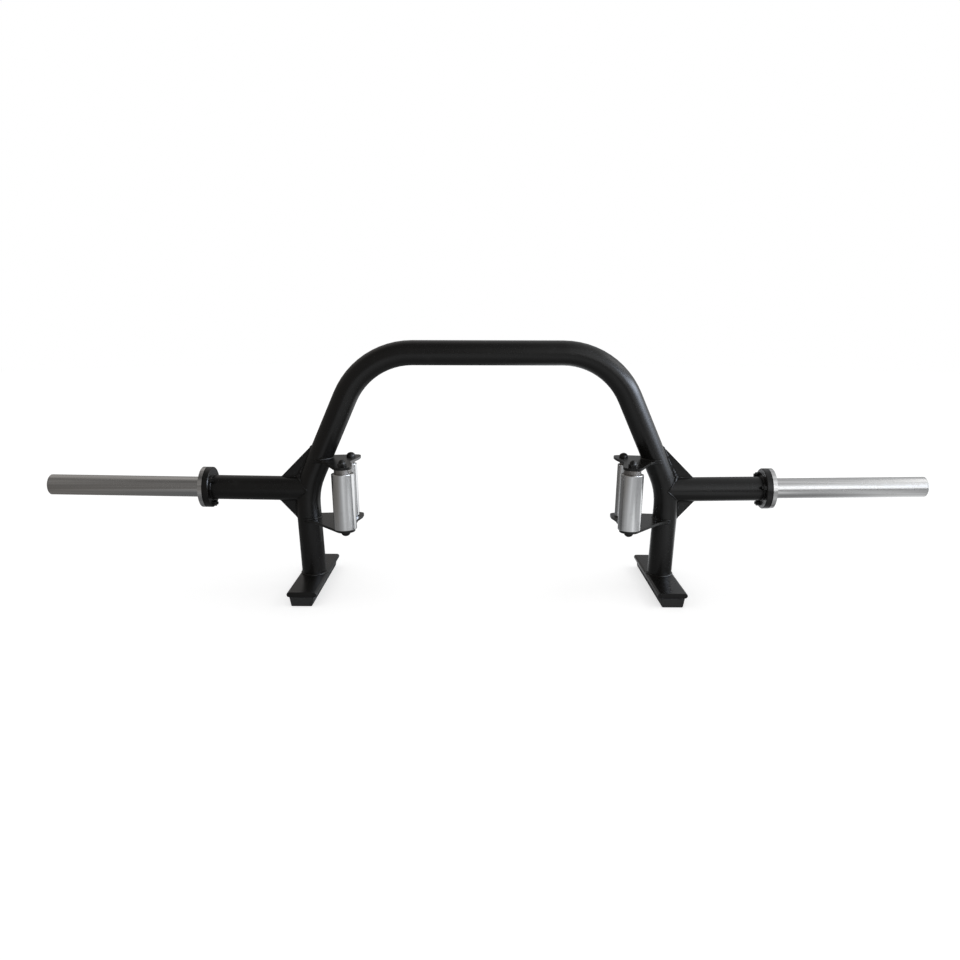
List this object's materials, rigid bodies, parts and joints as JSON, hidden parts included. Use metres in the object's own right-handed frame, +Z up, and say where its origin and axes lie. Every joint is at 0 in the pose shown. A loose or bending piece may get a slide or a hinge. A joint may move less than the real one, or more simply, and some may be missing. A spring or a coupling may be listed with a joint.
{
  "type": "half hex trap bar",
  "caption": "Arched tube lifting frame on two long feet, with plate sleeves on side arms and pairs of upright turning grips between welded plates.",
  "frame": {"origin": "on the floor midway between the two feet, in the plane of the arch", "axes": "+X along the bar from the left sleeve to the right one, +Y from the grips' front side to the back, +Z up"},
  "size_m": [2.1642, 0.316, 0.6142],
  "materials": {
    "black_coat": "semi-gloss black powder coat",
    "turned_steel": "plain turned steel with faint lengthwise streaks",
    "grip_steel": "satin plated steel",
    "shaft_steel": "plain drawn steel",
    "black_bolt": "black oxide",
    "bush_nylon": "plain nylon",
    "pad_rubber": "matte moulded rubber"
  },
  "bodies": {
    "frame": {"arch_tube": "black_coat", "left_arm_tube": "black_coat", "right_arm_tube": "black_coat", "left_upper_gusset": "black_coat", "left_lower_gusset": "black_coat", "right_upper_gusset": "black_coat", "right_lower_gusset": "black_coat", "left_arm_flange": "black_coat", "right_arm_flange": "black_coat", "left_upper_handle_plate": "black_coat", "left_lower_handle_plate": "black_coat", "right_upper_handle_plate": "black_coat", "right_lower_handle_plate": "black_coat", "left_foot_plate": "black_coat", "right_foot_plate": "black_coat", "left_foot_pad": "pad_rubber", "right_foot_pad": "pad_rubber", "left_sleeve_flange": "turned_steel", "right_sleeve_flange": "turned_steel", "left_sleeve": "turned_steel", "right_sleeve": "turned_steel", "left_sleeve_end_cap": "turned_steel", "right_sleeve_end_cap": "turned_steel", "left_flange_screw_1": "black_bolt", "left_flange_screw_2": "black_bolt", "left_flange_screw_3": "black_bolt", "right_flange_screw_1": "black_bolt", "right_flange_screw_2": "black_bolt", "right_flange_screw_3": "black_bolt", "left_flange_nut_1": "black_bolt", "left_flange_nut_2": "black_bolt", "left_flange_nut_3": "black_bolt", "right_flange_nut_1": "black_bolt", "right_flange_nut_2": "black_bolt", "right_flange_nut_3": "black_bolt", "left_front_grip_shaft": "shaft_steel", "left_rear_grip_shaft": "shaft_steel", "right_front_grip_shaft": "shaft_steel", "right_rear_grip_shaft": "shaft_steel", "left_front_grip_bolt": "black_bolt", "left_rear_grip_bolt": "black_bolt", "right_front_grip_bolt": "black_bolt", "right_rear_grip_bolt": "black_bolt", "left_front_grip_nut": "black_bolt", "left_rear_grip_nut": "black_bolt", "right_front_grip_nut": "black_bolt", "right_rear_grip_nut": "black_bolt"},
    "left_front_grip": {"left_front_grip_roller": "grip_steel", "left_front_lower_bush": "bush_nylon", "left_front_upper_bush": "bush_nylon"},
    "left_rear_grip": {"left_rear_grip_roller": "grip_steel", "left_rear_lower_bush": "bush_nylon", "left_rear_upper_bush": "bush_nylon"},
    "right_front_grip": {"right_front_grip_roller": "grip_steel", "right_front_lower_bush": "bush_nylon", "right_front_upper_bush": "bush_nylon"},
    "right_rear_grip": {"right_rear_grip_roller": "grip_steel", "right_rear_lower_bush": "bush_nylon", "right_rear_upper_bush": "bush_nylon"}
  },
  "joints": [
    {"name": "left_front_grip_turn", "type": "hinge", "parent": "frame", "child": "left_front_grip", "pos_m": [-0.3345, -0.125, 0.252], "axis": [-0.0262, 0, 0.9997], "continuous": true},
    {"name": "left_rear_grip_turn", "type": "hinge", "parent": "frame", "child": "left_rear_grip", "pos_m": [-0.3345, 0.005, 0.252], "axis": [-0.0262, 0, 0.9997], "continuous": true},
    {"name": "right_front_grip_turn", "type": "hinge", "parent": "frame", "child": "right_front_grip", "pos_m": [0.3345, -0.125, 0.252], "axis": [0.0262, 0, 0.9997], "continuous": true},
    {"name": "right_rear_grip_turn", "type": "hinge", "parent": "frame", "child": "right_rear_grip", "pos_m": [0.3345, 0.005, 0.252], "axis": [0.0262, 0, 0.9997], "continuous": true}
  ]
}
